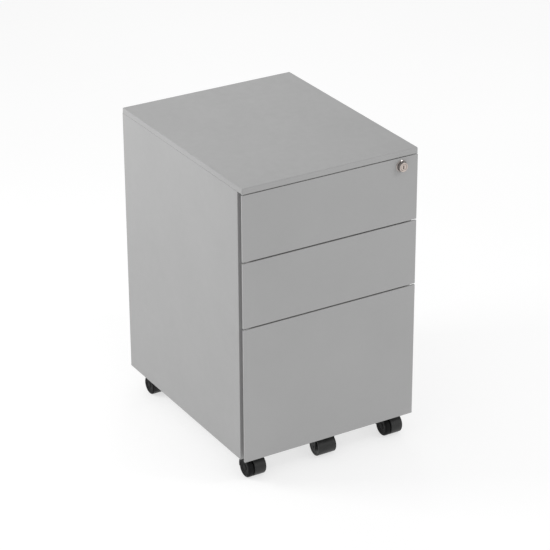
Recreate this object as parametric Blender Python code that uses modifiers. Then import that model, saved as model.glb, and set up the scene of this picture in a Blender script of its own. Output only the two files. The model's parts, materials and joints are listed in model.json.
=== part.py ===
"""Rolling pedestal cabinet: a folded steel body on castors with three drawers and a central lock.

The frame is in metres with +Z up. The drawers open towards -Y, and the origin is the middle of the
footprint on the floor. Every piece is modelled in the frame of the empty that it hangs on, and a
moving piece hangs on an empty that lies on its joint's axis.
"""
import math

import bmesh
import bpy
from mathutils import Matrix, Vector

# Outer size
WIDTH = 0.380
DEPTH = 0.466            # drawer fronts to back
HEIGHT = 0.615
LOCK_REACH = 0.009       # the lock stands this far out of the drawer front
SHEET = 0.001            # body, drawers and fronts
STEEL = 0.0012           # posts and slides
CLEAR = 0.0003           # gap between pieces that rest on each other

FRONT_Y = (LOCK_REACH - DEPTH) / 2
BACK_Y = FRONT_Y + DEPTH
SIDE_X = WIDTH / 2

# Body shell
TOP_THICK = 0.0106
TOP_EDGE = 0.0022        # bend radius round the top
TOP_RETURN = 0.020       # hem under the top
UNDER_TOP = HEIGHT - TOP_THICK
SIDE_BOTTOM = 0.0475
LIP = 0.004              # thickness of a drawer front's edge
PULL_DEPTH = 0.013       # finger pull behind the edge, front to back
PULL_WIDTH = 0.014       # finger pull, side to side
BODY_Y = FRONT_Y + LIP + PULL_DEPTH
FLANGE = 0.017           # front flange of a side panel
REAR_FLANGE = 0.015
BASE_Z = 0.051           # middle of the base sheet
BASE_FLANGE = 0.012
BACK_PLAY = 0.0012       # gaps at the ends of the back, base and rail
BASE_PLAY = 0.0010
RAIL_PLAY = 0.0006
ROLLER_NOTCH = 0.034     # front-to-back length of the cut for the roller in the base
RAIL_LOW = 0.5615
RAIL_RETURN = 0.011

# Posts and slides
POST_X = 0.1736          # middle of a post's inner web
POST_OUT = 0.1866
POST_DEPTH = 0.058
POST_LOW = 0.0522
POST_HIGH = 0.5990
REAR_POST_Y = 0.140      # front edge of a rear post
SLIDE_LENGTH = 0.395
SLIDE_Y = -0.1930
SLIDE_OUT = 0.1727       # face that is screwed to the post
SLIDE_IN = 0.1603        # face that is screwed to the drawer
OUTER_LIP = 0.1625       # each slide member: free edge of its lips, and half its height
OUTER_HALF = 0.0174
MIDDLE_LIP = 0.1628
MIDDLE_WEB = 0.1694
MIDDLE_HALF = 0.0139
INNER_LIP = 0.1688
INNER_HALF = 0.0120
NESTED_LIP = 0.1672      # an inner member that runs inside a middle one
NESTED_HALF = 0.0092

# Drawers
FRONT_GAP = 0.003
FRONT_BOTTOM = 0.0489
SMALL_FRONT = 0.1328
FILING_FRONT = UNDER_TOP - FRONT_BOTTOM - 2 * SMALL_FRONT - 3 * FRONT_GAP
TRAY_X = 0.160
TRAY_FRONT = BODY_Y - 0.0007
TRAY_LENGTH = 0.417
TRAY_LIFT = 0.0075       # drawer floor above its front's lower edge
WINDOW = 0.010           # rim round the opening in the back of a front
PEN_WALL = 0.002
PEN_PLAY = 0.005         # pen tray to the drawer's sides
PEN_FRONT = TRAY_FRONT + 0.003
PEN_MIDDLE = PEN_FRONT + 0.046
PEN_BACK = PEN_FRONT + 0.100
PEN_HEIGHT = 0.022
PEN_POCKETS = 3          # behind the long pocket

# Lock: a plug with a cam, which lifts and drops a bar beside the drawers
LOCK_X = 0.153
LOCK_Z = 0.585
BARREL_R = 0.0093
BARREL_NECK_R = 0.008
BARREL_END = -0.2042
PLUG_R = 0.006
PLUG_SUNK = 0.0006       # plug face behind the barrel's face
KEY_WIDE = 0.0012
KEY_HIGH = 0.0076
KEY_DEEP = 0.0114
NUT_R = 0.0112
NUT_THICK = 0.003
CAM_REACH = 0.009        # plug axis to cam pin
CAM_PIN_R = 0.0015
CAM_Y = -0.2027
CAM_THICK = 0.0018
CAM_R = 0.0055
CAM_HALF = 0.0035        # half the lever's width
CAM_TIP = 0.003          # lever beyond the pin
CAM_PIN_LONG = 0.0077
CAM_SCREW_R = 0.0028
CAM_SCREW_HEAD = 0.0016
CAM_REST = math.radians(45)
BAR_DROP = 2 * CAM_REACH * math.sin(CAM_REST)
BAR_X = 0.1690
BAR_THICK = 0.0015
BAR_Y = -0.2025          # middle of the bar
BAR_WIDE = 0.012
BAR_LOW = 0.2600
BAR_HIGH = 0.5990
FORK_TIP = 0.1560
FORK_HALF = 0.0075
FORK_ROOT = 0.1645       # blind end of the fork's slot
FORK_PLAY = 0.0005
PIN_R = 0.0025           # drawer pins that the bar catches
PIN_END = 0.1722
PIN_PLAY = 0.0007
STUD_R = 0.002
STUD_HEAD_R = 0.004
STUD_PLAY = 0.0004
STUD_HEIGHTS = (0.3250, 0.4550)

# Castors and the roller under the filing drawer
CASTOR_X = 0.156
CASTOR_FRONT_Y = -0.1832
CASTOR_REAR_Y = 0.1715
TRAIL = 0.017
WHEEL_R = 0.020
WHEEL_DOME = 0.002
CASTOR_HALF = 0.01775    # half the width over the two treads
WHEEL_SPLIT = -0.00825   # middle of the slot between the wheels
SPLIT_WIDE = 0.0025
AXLE_R = 0.002
AXLE_PLAY = 0.0004
AXLE_REST = 0.0025       # axle end inside the wheel's tread edge
BORE_FLOOR = 0.0035      # wheel's outer wall over the axle's end
HOOD_GAP = 0.0010
HOOD_THICK = 0.0015
HOOD_START = math.radians(-15)
HOOD_SWEEP = math.radians(115)
HOOD_STEPS = 10
HOOD_OVER = 0.0005       # hood past the treads, each side
WEB_PLAY = 0.0004        # web in the slot between the wheels
WEB_R = 0.0072
WEB_NEAR = 0.004         # web past the axle, away from the king pin
HEAD_R = 0.016
HEAD_LOW = 0.0420
HEAD_HIGH = 0.0476
PLATE = 0.044
PLATE_THICK = 0.002
KING_R = 0.005
ROLLER_Y = -0.2008
ROLLER_X = 0.0013
ROLLER_R = 0.019
ROLLER_HALF = 0.0197
ROLLER_PLAY = 0.0003
BRACKET = 0.0015
BRACKET_HALF = 0.007     # half the length of the roller's bracket, and its reach below the axle

ROUND = 24               # segments of round pieces
SMALL_ROUND = 16
FINE_ROUND = 32

# Each drawer from the bottom up: height of its front and tray, heights of its slides and its pin
# above the tray's floor, and whether it extends fully
DRAWERS = {
    "filing_drawer": {
        "front": FILING_FRONT, "tray": 0.244, "slide": 0.140, "pin": 0.220, "full": True},
    "middle_drawer": {
        "front": SMALL_FRONT, "tray": 0.100, "slide": 0.030, "pin": 0.062, "full": False},
    "top_drawer": {
        "front": SMALL_FRONT, "tray": 0.080, "slide": 0.030, "pin": 0.062, "full": False},
}

FINISHES = {
    "powder_coat": ((0.36, 0.36, 0.36, 1), 0.55, 0.0),
    "zinc": ((0.56, 0.57, 0.58, 1), 0.38, 1.0),
    "chrome": ((0.78, 0.76, 0.74, 1), 0.12, 1.0),
    "black_nylon": ((0.022, 0.022, 0.024, 1), 0.45, 0.0),
    "black_tray": ((0.035, 0.035, 0.038, 1), 0.50, 0.0),
}


# ------------------------------------------------------------------ tools

def clear_scene():
    for obj in list(bpy.data.objects):
        bpy.data.objects.remove(obj, do_unlink=True)


def new_collection(name):
    group = bpy.data.collections.new(name)
    bpy.context.scene.collection.children.link(group)
    return group


def new_finish(name, colour, roughness, metallic):
    mat = bpy.data.materials.new(name)
    mat.use_nodes = True
    shader = mat.node_tree.nodes["Principled BSDF"]
    shader.inputs["Base Color"].default_value = colour
    shader.inputs["Roughness"].default_value = roughness
    shader.inputs["Metallic"].default_value = metallic
    mat.diffuse_color = colour
    return mat


def frame_at(name, at, parent=None, turn=0.0):
    empty = bpy.data.objects.new(name, None)
    PARTS.objects.link(empty)
    empty.parent = parent
    empty.location = at
    empty.rotation_euler = (0, 0, turn)
    return empty


def to_object(name, shape, frame, group):
    mesh = bpy.data.meshes.new(name)
    shape.to_mesh(mesh)
    shape.free()
    obj = bpy.data.objects.new(name, mesh)
    group.objects.link(obj)
    obj.parent = frame
    return obj


def piece(name, shape, finish, frame, smooth=False):
    obj = to_object(name, shape, frame, PARTS)
    obj.data.materials.append(MATERIALS[finish])
    if smooth:
        obj.data.shade_smooth()
        obj.data.set_sharp_from_angle(angle=math.radians(35))
    return obj


def combine(obj, tool, operation):
    tool.hide_render = True
    tool.display_type = "WIRE"
    step = obj.modifiers.new(operation.lower(), "BOOLEAN")
    step.operation = operation
    step.solver = "EXACT"
    step.object = tool


def tool_for(obj, shape):
    tool = to_object(f"{obj.name}_tool_{len(obj.modifiers)}", shape, obj.parent, TOOLS)
    tool.location = obj.location
    tool.rotation_euler = obj.rotation_euler
    return tool


def cut(obj, shape):
    combine(obj, tool_for(obj, shape), "DIFFERENCE")


def join(obj, shape):
    combine(obj, tool_for(obj, shape), "UNION")


def thicken(obj, thickness):
    solid = obj.modifiers.new("sheet", "SOLIDIFY")
    solid.thickness = thickness
    solid.offset = 0
    solid.use_even_offset = True


def box(low, high):
    low = Vector(low)
    high = Vector(high)
    shape = bmesh.new()
    bmesh.ops.create_cube(shape, size=1.0)
    shape.transform(Matrix.Translation((low + high) / 2) @ Matrix.Diagonal((*(high - low), 1)))
    return shape


def rod(start, end, radius, segments=ROUND):
    start = Vector(start)
    end = Vector(end)
    axis = end - start
    shape = bmesh.new()
    bmesh.ops.create_cone(shape, cap_ends=True, segments=segments, radius1=radius, radius2=radius,
                          depth=axis.length)
    turn = axis.to_track_quat("Z", "Y").to_matrix().to_4x4()
    shape.transform(Matrix.Translation((start + end) / 2) @ turn)
    return shape


def strip(points, run):
    """An open sheet: a folded line of points swept along one straight run."""
    shape = bmesh.new()
    verts = [shape.verts.new(point) for point in points]
    edges = [shape.edges.new(pair) for pair in zip(verts, verts[1:])]
    swept = bmesh.ops.extrude_edge_only(shape, edges=edges)
    moved = [item for item in swept["geom"] if isinstance(item, bmesh.types.BMVert)]
    bmesh.ops.translate(shape, verts=moved, vec=Vector(run))
    return shape


def turned(name, profile, finish, frame, at, axis_turn, segments=ROUND):
    """A solid of revolution: the profile holds (radius, height) from the top down the outer side."""
    shape = bmesh.new()
    verts = [shape.verts.new((radius, 0, height)) for radius, height in profile]
    for pair in zip(verts, verts[1:]):
        shape.edges.new(pair)
    obj = piece(name, shape, finish, frame)
    obj.location = at
    obj.rotation_euler = axis_turn
    screw = obj.modifiers.new("turned", "SCREW")
    screw.steps = segments
    screw.render_steps = segments
    screw.use_merge_vertices = True
    screw.merge_threshold = 0.00001
    screw.use_smooth_shade = True
    return obj


def mirrored(points, side):
    return [(side * x, y, z) for x, y, z in points]


# ------------------------------------------------------------------ body

def make_top(frame):
    shape = box((-SIDE_X, FRONT_Y, UNDER_TOP), (SIDE_X, BACK_Y, HEIGHT))
    rim = [edge for edge in shape.edges if max(vert.co.z for vert in edge.verts) > HEIGHT - CLEAR]
    bmesh.ops.bevel(shape, geom=rim, offset=TOP_EDGE, segments=3, profile=0.5, affect="EDGES")
    top = piece("top_panel", shape, "powder_coat", frame)
    inner_x = SIDE_X - SHEET
    low = (-inner_x, FRONT_Y + SHEET, UNDER_TOP + SHEET)
    cut(top, box(low, (inner_x, BACK_Y - SHEET, HEIGHT - SHEET)))
    mouth_x = SIDE_X - TOP_RETURN
    low = (-mouth_x, BODY_Y + TOP_RETURN, UNDER_TOP - SHEET)
    cut(top, box(low, (mouth_x, BACK_Y - TOP_RETURN, HEIGHT - 2 * SHEET)))


def make_side(name, side, frame):
    half = SHEET / 2
    outline = [
        (SIDE_X - FLANGE, BODY_Y + half, SIDE_BOTTOM),
        (SIDE_X - half, BODY_Y + half, SIDE_BOTTOM),
        (SIDE_X - half, BACK_Y - half, SIDE_BOTTOM),
        (SIDE_X - REAR_FLANGE, BACK_Y - half, SIDE_BOTTOM),
    ]
    run = (0, 0, UNDER_TOP - CLEAR - SIDE_BOTTOM)
    panel = piece(name, strip(mirrored(outline, side), run), "powder_coat", frame)
    thicken(panel, SHEET)


def make_back(frame):
    y = BACK_Y - SHEET - CLEAR - SHEET / 2
    x = SIDE_X - 2 * SHEET - BACK_PLAY
    low = BASE_Z + SHEET + CLEAR
    high = UNDER_TOP - SHEET
    outline = [(-x, y - BASE_FLANGE, low), (-x, y, low), (-x, y, high), (-x, y - BASE_FLANGE, high)]
    thicken(piece("back_panel", strip(outline, (2 * x, 0, 0)), "powder_coat", frame), SHEET)


def make_base(frame):
    x = SIDE_X - SHEET - BASE_PLAY
    start = BODY_Y + SHEET + CLEAR
    length = BACK_Y - SHEET - 2 * CLEAR - start
    outline = [
        (-x, start, BASE_Z + BASE_FLANGE),
        (-x, start, BASE_Z),
        (x, start, BASE_Z),
        (x, start, BASE_Z + BASE_FLANGE),
    ]
    base = piece("base_panel", strip(outline, (0, length, 0)), "powder_coat", frame)
    thicken(base, SHEET)
    half = ROLLER_HALF + 0.010
    low = (ROLLER_X - half, start - SHEET, BASE_Z - SHEET)
    cut(base, box(low, (ROLLER_X + half, start + ROLLER_NOTCH, BASE_Z + SHEET)))


def make_top_rail(frame):
    y = BODY_Y + SHEET + CLEAR + SHEET / 2
    reach = SIDE_X - SHEET - RAIL_PLAY
    high = UNDER_TOP - CLEAR - SHEET / 2
    outline = [
        (-reach, y + RAIL_RETURN, RAIL_LOW),
        (-reach, y, RAIL_LOW),
        (-reach, y, high),
        (-reach, y + RAIL_RETURN, high),
    ]
    rail = piece("front_top_rail", strip(outline, (2 * reach, 0, 0)), "powder_coat", frame)
    thicken(rail, SHEET)
    for side in (-1, 1):
        near, far = sorted((side * (BAR_X - 0.004), side * (reach + SHEET)))
        behind = y + SHEET / 2 + 0.0001
        cut(rail, box((near, behind, RAIL_LOW - SHEET), (far, 0, HEIGHT)))
    hole = BARREL_NECK_R + CLEAR
    cut(rail, rod((LOCK_X, y - SHEET, LOCK_Z), (LOCK_X, y + SHEET, LOCK_Z), hole))


def make_post(name, side, near, frame):
    """A channel on the side panel that the slides are screwed to. near is its front edge."""
    outline = [
        (POST_OUT, near + STEEL / 2, POST_LOW),
        (POST_X, near + STEEL / 2, POST_LOW),
        (POST_X, near + POST_DEPTH, POST_LOW),
        (POST_OUT, near + POST_DEPTH, POST_LOW),
    ]
    post = piece(name, strip(mirrored(outline, side), (0, 0, POST_HIGH - POST_LOW)), "zinc", frame)
    thicken(post, STEEL)
    return post


def make_posts(frame):
    front = BAR_Y - BAR_WIDE / 2
    make_post("front_post_left", -1, front, frame)
    make_post("rear_post_left", -1, REAR_POST_Y, frame)
    make_post("rear_post_right", 1, REAR_POST_Y, frame)
    post = make_post("front_post_right", 1, front, frame)
    head = BAR_X - CLEAR
    for height in STUD_HEIGHTS:
        shank = rod((POST_X, BAR_Y, height), (head - SHEET / 2, BAR_Y, height), STUD_R, SMALL_ROUND)
        join(post, shank)
        cap = rod((head, BAR_Y, height), (head - SHEET, BAR_Y, height), STUD_HEAD_R, SMALL_ROUND)
        join(post, cap)


def make_slide(name, x_lip, x_web, half, z, side, frame):
    """A channel along Y, open towards x_lip."""
    outline = [
        (x_lip, SLIDE_Y, z + half),
        (x_web, SLIDE_Y, z + half),
        (x_web, SLIDE_Y, z - half),
        (x_lip, SLIDE_Y, z - half),
    ]
    thicken(piece(name, strip(mirrored(outline, side), (0, SLIDE_LENGTH, 0)), "zinc", frame), STEEL)


def make_slides(name, z, side, word, body, middle, frame):
    outer_web = SLIDE_OUT - STEEL / 2
    inner_web = SLIDE_IN + STEEL / 2
    outer = f"{name}_slide_outer_{word}"
    inner = f"{name}_slide_inner_{word}"
    make_slide(outer, OUTER_LIP, outer_web, OUTER_HALF, z, side, body)
    if middle:
        between = f"{name}_slide_middle_{word}"
        make_slide(between, MIDDLE_LIP, MIDDLE_WEB, MIDDLE_HALF, z, side, middle)
        make_slide(inner, NESTED_LIP, inner_web, NESTED_HALF, z, side, frame)
    else:
        make_slide(inner, INNER_LIP, inner_web, INNER_HALF, z, side, frame)


# ------------------------------------------------------------------ drawers

def make_front(name, low, data, frame):
    """A pan with a lip on each side that stands in front of the finger pulls."""
    high = low + data["front"]
    lip = box((-SIDE_X, FRONT_Y, low), (SIDE_X, FRONT_Y + LIP, high))
    front = piece(f"{name}_front", lip, "powder_coat", frame)
    back = BODY_Y - 0.001
    pan_x = SIDE_X - PULL_WIDTH
    join(front, box((-pan_x, FRONT_Y + LIP / 2, low), (pan_x, back, high)))
    inner_x = pan_x - SHEET
    inside = (-inner_x, FRONT_Y + SHEET, low + SHEET)
    cut(front, box(inside, (inner_x, back - SHEET, high - SHEET)))
    floor = low + TRAY_LIFT
    window_x = TRAY_X - WINDOW
    window = (-window_x, back - 2 * SHEET, floor + WINDOW)
    cut(front, box(window, (window_x, back + SHEET, floor + data["tray"] - WINDOW)))
    return front


def make_tray(name, low, data, frame):
    floor = low + TRAY_LIFT
    rim = floor + data["tray"]
    end = TRAY_FRONT + TRAY_LENGTH
    shape = box((-TRAY_X, TRAY_FRONT, floor), (TRAY_X, end, rim))
    tray = piece(f"{name}_tray", shape, "powder_coat", frame)
    inside = (SHEET - TRAY_X, TRAY_FRONT + SHEET, floor + SHEET)
    cut(tray, box(inside, (TRAY_X - SHEET, end - SHEET, rim + SHEET)))
    pin_z = floor + data["pin"]
    pin = rod((TRAY_X - SHEET / 2, BAR_Y, pin_z), (PIN_END, BAR_Y, pin_z), PIN_R, SMALL_ROUND)
    join(tray, pin)


def make_pen_tray(floor, frame):
    """A moulded tray, and the insert that divides it into a long pocket and three short ones."""
    x = TRAY_X - PEN_PLAY
    low = floor + SHEET + CLEAR
    high = low + PEN_HEIGHT
    tray = piece("pen_tray", box((-x, PEN_FRONT, low), (x, PEN_BACK, high)), "black_tray", frame)
    inner_x = x - PEN_WALL
    bottom = low + PEN_WALL
    inside = (-inner_x, PEN_FRONT + PEN_WALL, bottom)
    cut(tray, box(inside, (inner_x, PEN_BACK - PEN_WALL, high + PEN_WALL)))

    reach = inner_x - CLEAR
    start = PEN_MIDDLE - PEN_WALL / 2
    seat = bottom + CLEAR
    wall = box((-reach, start, seat), (reach, start + PEN_WALL, high))
    divider = piece("pen_tray_divider", wall, "black_tray", frame)
    pitch = (2 * inner_x + PEN_WALL) / PEN_POCKETS
    for index in range(1, PEN_POCKETS):
        left = index * pitch - inner_x - PEN_WALL
        rib = (left, start + PEN_WALL / 2, seat)
        join(divider, box(rib, (left + PEN_WALL, PEN_BACK - PEN_WALL - CLEAR, high)))


def make_drawers(body):
    low = FRONT_BOTTOM
    for name, data in DRAWERS.items():
        frame = frame_at(name, (0, 0, 0), body)
        middle = frame_at("filing_slide_middle", (0, 0, 0), body) if data["full"] else None
        front = make_front(name, low, data, frame)
        make_tray(name, low, data, frame)
        for word, side in (("left", -1), ("right", 1)):
            make_slides(name, low + TRAY_LIFT + data["slide"], side, word, body, middle, frame)
        if name == "top_drawer":
            make_pen_tray(low + TRAY_LIFT, frame)
            start = (LOCK_X, FRONT_Y - SHEET, LOCK_Z)
            cut(front, rod(start, (LOCK_X, BODY_Y, LOCK_Z), BARREL_R + CLEAR, FINE_ROUND))
        if name == "filing_drawer":
            make_roller(low + TRAY_LIFT, frame)
        low += data["front"] + FRONT_GAP


def roller_rod(reach, radius):
    start = (ROLLER_X - reach, ROLLER_Y, WHEEL_R)
    return rod(start, (ROLLER_X + reach, ROLLER_Y, WHEEL_R), radius, SMALL_ROUND)


def make_roller(floor, frame):
    leg_x = ROLLER_HALF + BRACKET
    top = floor - CLEAR - BRACKET / 2
    foot = WHEEL_R - BRACKET_HALF
    outline = [(-leg_x, 0, foot), (-leg_x, 0, top), (leg_x, 0, top), (leg_x, 0, foot)]
    shape = strip(outline, (0, 2 * BRACKET_HALF, 0))
    bmesh.ops.translate(shape, verts=shape.verts, vec=(ROLLER_X, ROLLER_Y - BRACKET_HALF, 0))
    bracket = piece("roller_bracket", shape, "black_nylon", frame)
    thicken(bracket, BRACKET)
    bore = AXLE_R + AXLE_PLAY
    cut(bracket, roller_rod(leg_x + 2 * BRACKET, bore))
    piece("roller_axle", roller_rod(leg_x + BRACKET, AXLE_R), "zinc", frame, smooth=True)

    spin = frame_at("anti_tilt_roller", (ROLLER_X, ROLLER_Y, WHEEL_R), frame)
    half = ROLLER_HALF - ROLLER_PLAY
    edge = [(ROLLER_R - 0.0015, half), (ROLLER_R - 0.0004, half - 0.0005), (ROLLER_R, half - 0.0016)]
    other_edge = [(radius, -height) for radius, height in reversed(edge)]
    profile = [(bore, half), *edge, *other_edge, (bore, -half), (bore, half)]
    turn = (0, math.radians(90), 0)
    turned("roller_wheel", profile, "black_nylon", spin, (0, 0, 0), turn)


# ------------------------------------------------------------------ lock

def lock_rod(start, end, radius, segments=ROUND):
    """A rod on the lock's axis, between two places along Y."""
    return rod((LOCK_X, start, LOCK_Z), (LOCK_X, end, LOCK_Z), radius, segments)


def make_lock(body):
    face = FRONT_Y - LOCK_REACH
    shoulder = BODY_Y + SHEET + CLEAR - 0.0001
    depth = BARREL_END - face
    bore = PLUG_R + CLEAR
    flange = shoulder - face
    profile = [
        (bore, 0), (BARREL_R - 0.0016, 0), (BARREL_R - 0.0005, -0.0005), (BARREL_R, -0.0016),
        (BARREL_R, -flange), (BARREL_NECK_R, -flange), (BARREL_NECK_R, -depth), (bore, -depth),
        (bore, 0),
    ]
    to_front = (math.radians(90), 0, 0)
    at = (LOCK_X, face, LOCK_Z)
    turned("lock_barrel", profile, "chrome", body, at, to_front, FINE_ROUND)

    nut_front = BODY_Y + 2 * SHEET + 2 * CLEAR
    nut_back = nut_front + NUT_THICK
    nut = piece("lock_nut", lock_rod(nut_front, nut_back, NUT_R, 6), "zinc", body)
    cut(nut, lock_rod(nut_front - SHEET, nut_back + SHEET, BARREL_NECK_R + CLEAR))

    turning = frame_at("lock_plug_axis", (LOCK_X, 0, LOCK_Z), body)
    plug_face = face + PLUG_SUNK
    core = rod((0, plug_face, 0), (0, CAM_Y - CLEAR, 0), PLUG_R, FINE_ROUND)
    plug = piece("lock_plug", core, "chrome", turning, smooth=True)
    wide = KEY_WIDE / 2
    high = KEY_HIGH / 2
    cut(plug, box((-wide, face, -high), (wide, plug_face + KEY_DEEP, high)))
    make_cam(turning)
    make_bar(body)


def make_cam(frame):
    back = CAM_Y + CAM_THICK
    cam = piece("lock_cam", rod((0, CAM_Y, 0), (0, back, 0), CAM_R), "zinc", frame)
    lever = box((0, CAM_Y, -CAM_HALF), (CAM_REACH + CAM_TIP, back, CAM_HALF))
    lever.transform(Matrix.Rotation(-CAM_REST, 4, "Y"))
    join(cam, lever)
    x = CAM_REACH * math.cos(CAM_REST)
    z = CAM_REACH * math.sin(CAM_REST)
    pin = rod((x, CAM_Y + SHEET, z), (x, CAM_Y + CAM_PIN_LONG, z), CAM_PIN_R, SMALL_ROUND)
    join(cam, pin)
    screw_end = back + CAM_SCREW_HEAD
    join(cam, rod((0, CAM_Y + SHEET, 0), (0, screw_end, 0), CAM_SCREW_R, SMALL_ROUND))


def make_bar(body):
    sliding = frame_at("lock_bar_slide", (0, 0, 0), body)
    near = BAR_Y - BAR_WIDE / 2
    far = BAR_Y + BAR_WIDE / 2
    outer = BAR_X + BAR_THICK
    shape = box((BAR_X, near, BAR_LOW), (outer, far, BAR_HIGH))
    bar = piece("lock_bar", shape, "zinc", sliding)
    pin_z = LOCK_Z + CAM_REACH * math.sin(CAM_REST)
    fork = (FORK_TIP, far - BAR_THICK, pin_z - FORK_HALF)
    join(bar, box(fork, (BAR_X + SHEET, far, BAR_HIGH)))
    slot = CAM_PIN_R + FORK_PLAY
    mouth = (FORK_TIP - SHEET, far - 2 * BAR_THICK, pin_z - slot)
    cut(bar, box(mouth, (FORK_ROOT, far + SHEET, pin_z + slot)))

    def notch(start, low, end, high):
        cut(bar, box((BAR_X - SHEET, start, low), (outer + SHEET, end, high)))

    play = PIN_R + PIN_PLAY
    low = FRONT_BOTTOM
    for data in DRAWERS.values():
        height = low + TRAY_LIFT + data["pin"]
        notch(near - SHEET, height - play, BAR_Y + play, height + play)
        notch(BAR_Y - play, height, BAR_Y + play, height + BAR_DROP + play)
        low += data["front"] + FRONT_GAP
    play = STUD_R + STUD_PLAY
    for height in STUD_HEIGHTS:
        notch(BAR_Y - play, height - play, BAR_Y + play, height + BAR_DROP + play)


# ------------------------------------------------------------------ castors

def wheel_profile(width):
    """From the middle of the outer face, over the tread, to the bottom of the axle's blind hole."""
    bore = AXLE_R + AXLE_PLAY
    floor = width - BORE_FLOOR
    return [
        (0, width), (WHEEL_R * 0.55, width), (WHEEL_R - 0.0030, width - 0.0006),
        (WHEEL_R - 0.0008, width - WHEEL_DOME * 0.55), (WHEEL_R, width - WHEEL_DOME),
        (WHEEL_R, 0.0006), (WHEEL_R - 0.0006, 0), (bore, 0), (bore, floor), (0, floor),
    ]


def make_hood(name, frame):
    """The part of a castor's housing that lies over the treads."""
    radius = WHEEL_R + HOOD_GAP + HOOD_THICK / 2
    half = CASTOR_HALF + HOOD_OVER
    arc = []
    for step in range(HOOD_STEPS + 1):
        angle = HOOD_START + HOOD_SWEEP * step / HOOD_STEPS
        arc.append((-half, radius * math.cos(angle) - TRAIL, radius * math.sin(angle) + WHEEL_R))
    hood = to_object(name, strip(arc, (2 * half, 0, 0)), frame, TOOLS)
    thicken(hood, HOOD_THICK)
    return hood


def make_housing(name, frame):
    rim = rod((0, 0, HEAD_LOW), (0, 0, HEAD_HIGH), HEAD_R, FINE_ROUND)
    head = piece(f"{name}_housing", rim, "black_nylon", frame, smooth=True)
    combine(head, make_hood(f"{name}_hood", frame), "UNION")
    web_half = SPLIT_WIDE / 2 - WEB_PLAY
    left = WHEEL_SPLIT - web_half
    right = WHEEL_SPLIT + web_half
    join(head, box((left, -TRAIL - WEB_NEAR, WHEEL_R), (right, SHEET, HEAD_LOW + SHEET)))
    join(head, rod((left, -TRAIL, WHEEL_R), (right, -TRAIL, WHEEL_R), WEB_R))
    start = (left - SHEET, -TRAIL, WHEEL_R)
    hole = AXLE_R + CLEAR / 2
    cut(head, rod(start, (right + SHEET, -TRAIL, WHEEL_R), hole, SMALL_ROUND))
    cut(head, rod((0, 0, HEAD_LOW + SHEET), (0, 0, HEAD_HIGH + SHEET), KING_R + CLEAR))


def make_castor(name, at, turn, body):
    foot = frame_at(f"{name}_mount", at, body)
    top = BASE_Z - SHEET / 2 - CLEAR
    half = PLATE / 2
    shape = box((-half, -half, top - PLATE_THICK), (half, half, top))
    plate = piece(f"{name}_plate", shape, "zinc", foot)
    join(plate, rod((0, 0, top - SHEET), (0, 0, HEAD_LOW + SHEET + CLEAR), KING_R))

    swivel = frame_at(name, at, body, turn)
    make_housing(name, swivel)
    end = CASTOR_HALF - AXLE_REST
    axle = rod((-end, -TRAIL, WHEEL_R), (end, -TRAIL, WHEEL_R), AXLE_R - 0.0001, SMALL_ROUND)
    piece(f"{name}_axle", axle, "zinc", swivel, smooth=True)
    for word, direction in (("narrow", -1), ("wide", 1)):
        inner = WHEEL_SPLIT + direction * SPLIT_WIDE / 2
        width = CASTOR_HALF + WHEEL_DOME - direction * inner
        spin = frame_at(f"{name}_{word}_spin", (inner, -TRAIL, WHEEL_R), swivel)
        turn_out = (0, math.radians(90 * direction), 0)
        wheel = f"{name}_wheel_{word}"
        turned(wheel, wheel_profile(width), "black_nylon", spin, (0, 0, 0), turn_out)


# ------------------------------------------------------------------ assembly

clear_scene()
PARTS = new_collection("rolling_pedestal_cabinet")
TOOLS = new_collection("cutters")
MATERIALS = {name: new_finish(name, *values) for name, values in FINISHES.items()}

cabinet = frame_at("cabinet", (0, 0, 0))
make_top(cabinet)
make_side("left_side_panel", -1, cabinet)
make_side("right_side_panel", 1, cabinet)
make_back(cabinet)
make_base(cabinet)
make_top_rail(cabinet)
make_posts(cabinet)
make_drawers(cabinet)
make_lock(cabinet)
for end_word, y, turn in (("front", CASTOR_FRONT_Y, 0.0), ("rear", CASTOR_REAR_Y, math.pi)):
    for side_word, side in (("left", -1), ("right", 1)):
        make_castor(f"castor_{end_word}_{side_word}", (side * CASTOR_X, y, 0), turn, cabinet)
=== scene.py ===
"""Looks of the rolling pedestal cabinet: finishes, rounded sheet edges, castors, lock, slides and trays.

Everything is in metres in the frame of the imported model: +Z up, drawers opening towards -Y.
"""

import json
import math

import bmesh
import bpy
from mathutils import Matrix, Vector


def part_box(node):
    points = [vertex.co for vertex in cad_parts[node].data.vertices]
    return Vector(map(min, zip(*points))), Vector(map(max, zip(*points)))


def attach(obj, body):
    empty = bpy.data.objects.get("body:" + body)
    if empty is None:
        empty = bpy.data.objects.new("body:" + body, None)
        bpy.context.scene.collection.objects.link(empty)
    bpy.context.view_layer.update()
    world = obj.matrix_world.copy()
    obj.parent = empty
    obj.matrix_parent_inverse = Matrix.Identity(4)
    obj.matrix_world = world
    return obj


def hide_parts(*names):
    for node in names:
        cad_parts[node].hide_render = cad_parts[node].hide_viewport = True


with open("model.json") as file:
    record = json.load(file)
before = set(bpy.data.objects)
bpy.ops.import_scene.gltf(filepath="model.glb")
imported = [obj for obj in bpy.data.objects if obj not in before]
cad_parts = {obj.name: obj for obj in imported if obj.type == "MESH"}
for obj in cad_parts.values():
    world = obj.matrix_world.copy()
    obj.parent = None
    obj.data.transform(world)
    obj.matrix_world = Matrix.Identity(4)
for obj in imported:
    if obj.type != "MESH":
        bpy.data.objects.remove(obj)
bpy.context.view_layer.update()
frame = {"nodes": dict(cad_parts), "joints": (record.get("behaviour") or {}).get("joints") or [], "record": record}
NODES = frame["nodes"]
JOINTS = {joint["name"]: joint for joint in frame["joints"]}

DRAWERS = ("top_drawer", "middle_drawer", "filing_drawer")
SIDES = (("left", -1), ("right", 1))
CASTORS = [f"castor_{end}_{side}" for end in ("front", "rear") for side, _ in SIDES]

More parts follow.
